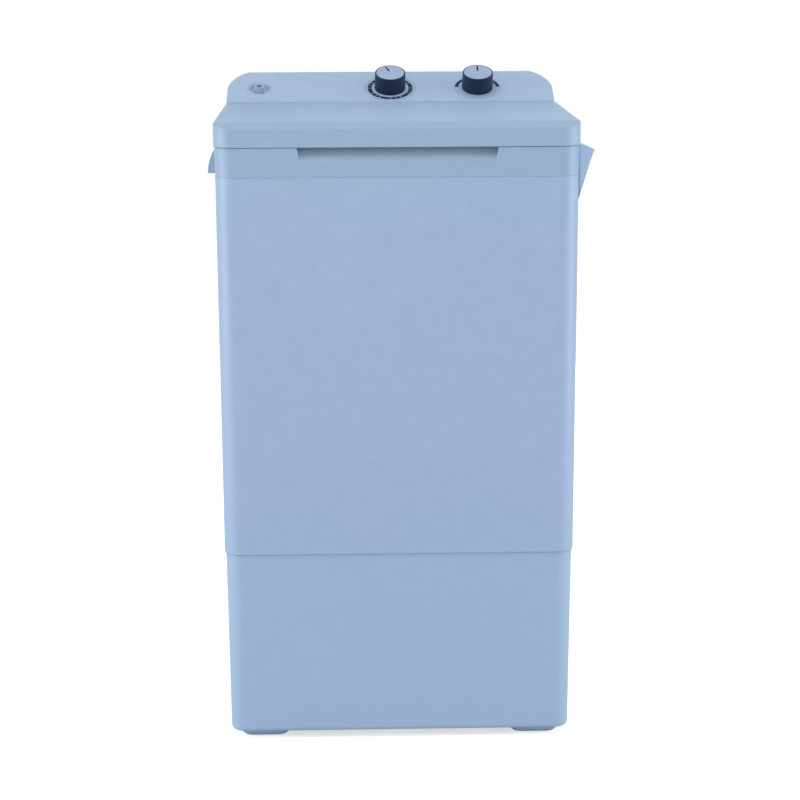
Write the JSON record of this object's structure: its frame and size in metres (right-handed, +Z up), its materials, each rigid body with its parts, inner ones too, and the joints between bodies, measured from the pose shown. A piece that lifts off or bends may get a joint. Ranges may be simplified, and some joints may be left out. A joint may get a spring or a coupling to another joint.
{
  "type": "top load washing machine",
  "caption": "Free-standing top load washer: moulded cabinet, hinged lid, tilted rear console with rotary timer and selector, agitating pulsator, belt drive, gravity drain valve.",
  "frame": {"origin": "on the floor, under the middle of the body", "axes": "+Z up; the front faces -Y; +X is to the right of someone who faces the machine"},
  "size_m": [0.5346, 0.485, 0.932],
  "materials": {
    "shell_blue": "smooth moulded plastic with a soft sheen",
    "lid_blue": "smooth moulded plastic with a soft sheen",
    "knob_navy": "glossy moulded plastic",
    "cap_blue": "satin moulded plastic",
    "tub_plastic": "smooth polypropylene",
    "pulsator_plastic": "smooth polypropylene",
    "dark_plastic": "matt moulded plastic",
    "white_plastic": "matt moulded plastic",
    "grey_plastic": "matt moulded plastic",
    "black_rubber": "matt rubber",
    "bright_steel": "zinc-plated steel",
    "cast_metal": "as-cast aluminium alloy",
    "motor_paint": "satin black paint",
    "bush_bronze": "sintered bronze",
    "net_white": "fine woven net"
  },
  "bodies": {
    "machine": {"base": "shell_blue", "cabinet": "shell_blue", "top_frame": "shell_blue", "hose_holder": "shell_blue", "console": "lid_blue", "foot_front_left": "shell_blue", "foot_front_right": "shell_blue", "foot_rear_left": "shell_blue", "foot_rear_right": "shell_blue", "lid_hinge_pins": "bright_steel", "lid_bumpers": "black_rubber", "wash_timer": "white_plastic", "selector_switch": "white_plastic", "water_inlet": "lid_blue", "inlet_duct": "tub_plastic", "wash_tub": "tub_plastic", "overflow_cover": "pulsator_plastic", "sump_grate": "pulsator_plastic", "bearing_housing": "cast_metal", "upper_bush": "bush_bronze", "lower_bush": "bush_bronze", "shaft_seal": "black_rubber", "housing_screws": "bright_steel", "drive_belt": "black_rubber", "motor": "motor_paint", "motor_plate": "bright_steel", "motor_mounts": "black_rubber", "motor_screws": "bright_steel", "capacitor": "white_plastic", "capacitor_clamp": "bright_steel", "drain_valve_body": "grey_plastic", "overflow_pipe": "grey_plastic", "drain_pipe": "grey_plastic", "service_cover": "shell_blue", "service_cover_screws": "bright_steel", "cord_gland": "dark_plastic"},
    "lid_body": {"lid": "lid_blue"},
    "timer_knob_body": {"timer_knob": "knob_navy", "timer_knob_cap": "cap_blue", "timer_spindle": "bright_steel"},
    "selector_knob_body": {"selector_knob": "knob_navy", "selector_knob_cap": "cap_blue", "selector_spindle": "bright_steel", "selector_lever": "white_plastic"},
    "drain_valve_body_moving": {"drain_valve_plug": "black_rubber", "drain_pull_rod": "white_plastic"},
    "pulsator_body": {"pulsator": "pulsator_plastic", "pulsator_screw": "pulsator_plastic", "wash_shaft": "bright_steel", "drive_pulley": "cast_metal"},
    "motor_rotor": {"motor_shaft": "bright_steel", "motor_pulley": "cast_metal"},
    "lint_filter": {"lint_filter_frame": "pulsator_plastic", "lint_filter_net": "net_white"}
  },
  "joints": [
    {"name": "lid_hinge", "type": "hinge", "parent": "machine", "child": "lid_body", "pos_m": [0, 0.14, 0.867], "axis": [-1, 0, 0], "range_deg": [0, 95]},
    {"name": "timer_turn", "type": "hinge", "parent": "machine", "child": "timer_knob_body", "pos_m": [0, 0.19057, 0.89778], "axis": [0, 0.4472, -0.8944], "range_deg": [0, 300]},
    {"name": "selector_turn", "type": "hinge", "parent": "machine", "child": "selector_knob_body", "pos_m": [0.1345, 0.19057, 0.89778], "axis": [0, 0.4472, -0.8944], "range_deg": [0, 90]},
    {"name": "drain_valve_lift", "type": "slide", "parent": "machine", "child": "drain_valve_body_moving", "axis": [0, 0, 1], "range_m": [0, 0.012]},
    {"name": "pulsator_spin", "type": "hinge", "parent": "machine", "child": "pulsator_body", "pos_m": [0, -0.038, 0.192], "axis": [0, 0, 1], "continuous": true},
    {"name": "motor_spin", "type": "hinge", "parent": "machine", "child": "motor_rotor", "pos_m": [-0.132, -0.038, 0.192], "axis": [0, 0, 1], "continuous": true},
    {"name": "lint_filter_lift", "type": "slide", "parent": "machine", "child": "lint_filter", "axis": [0, 0, 1], "range_m": [0, 0.055]}
  ],
  "couplings": [
    {"joint": "drain_valve_lift", "follows": "selector_turn", "m_per_rad": 0.007635},
    {"joint": "motor_spin", "follows": "pulsator_spin", "ratio": 5.3333}
  ]
}
